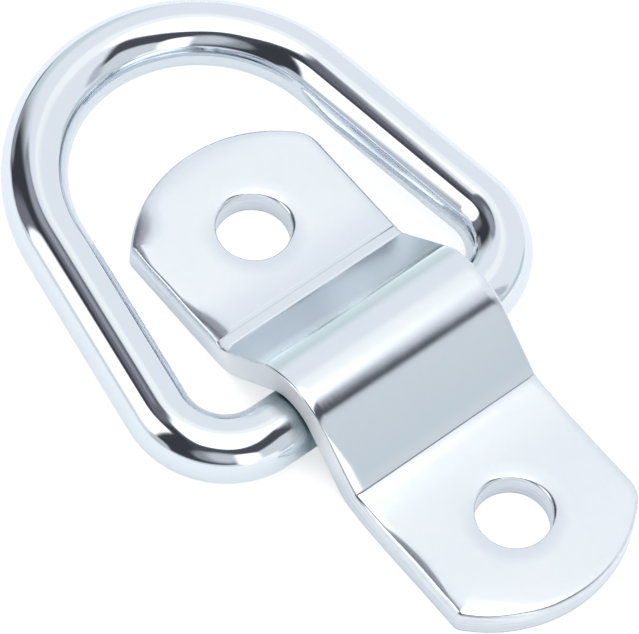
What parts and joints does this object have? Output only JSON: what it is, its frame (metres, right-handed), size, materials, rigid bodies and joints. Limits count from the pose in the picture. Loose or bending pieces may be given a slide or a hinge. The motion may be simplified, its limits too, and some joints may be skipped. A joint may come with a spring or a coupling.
{
  "type": "bolt-on d ring tie-down",
  "caption": "Low-profile tie-down point: a bent steel strap with bolt holes in its end tabs, and a welded D ring that swings under its hump.",
  "frame": {"origin": "on the mounting surface, under the middle of the whole object's length and width with the ring laid back", "axes": "+Z away from the mounting surface, +X along the strap from the tab that the ring surrounds to the other tab, +Y along the ring's straight bar"},
  "size_m": [0.0732, 0.0442, 0.0099],
  "materials": {
    "bracket_plate": "satin bright zinc plating over bent steel",
    "ring_plate": "mirror bright zinc plating over round steel bar"
  },
  "bodies": {
    "bracket": {"mounting_bracket": "bracket_plate"},
    "ring": {"d_ring": "ring_plate"}
  },
  "joints": [
    {"name": "ring_swing", "type": "hinge", "parent": "bracket", "child": "ring", "pos_m": [0.00741, 0, 0.00347], "axis": [0, 1, 0], "range_deg": [-2.4, 177.6]}
  ]
}
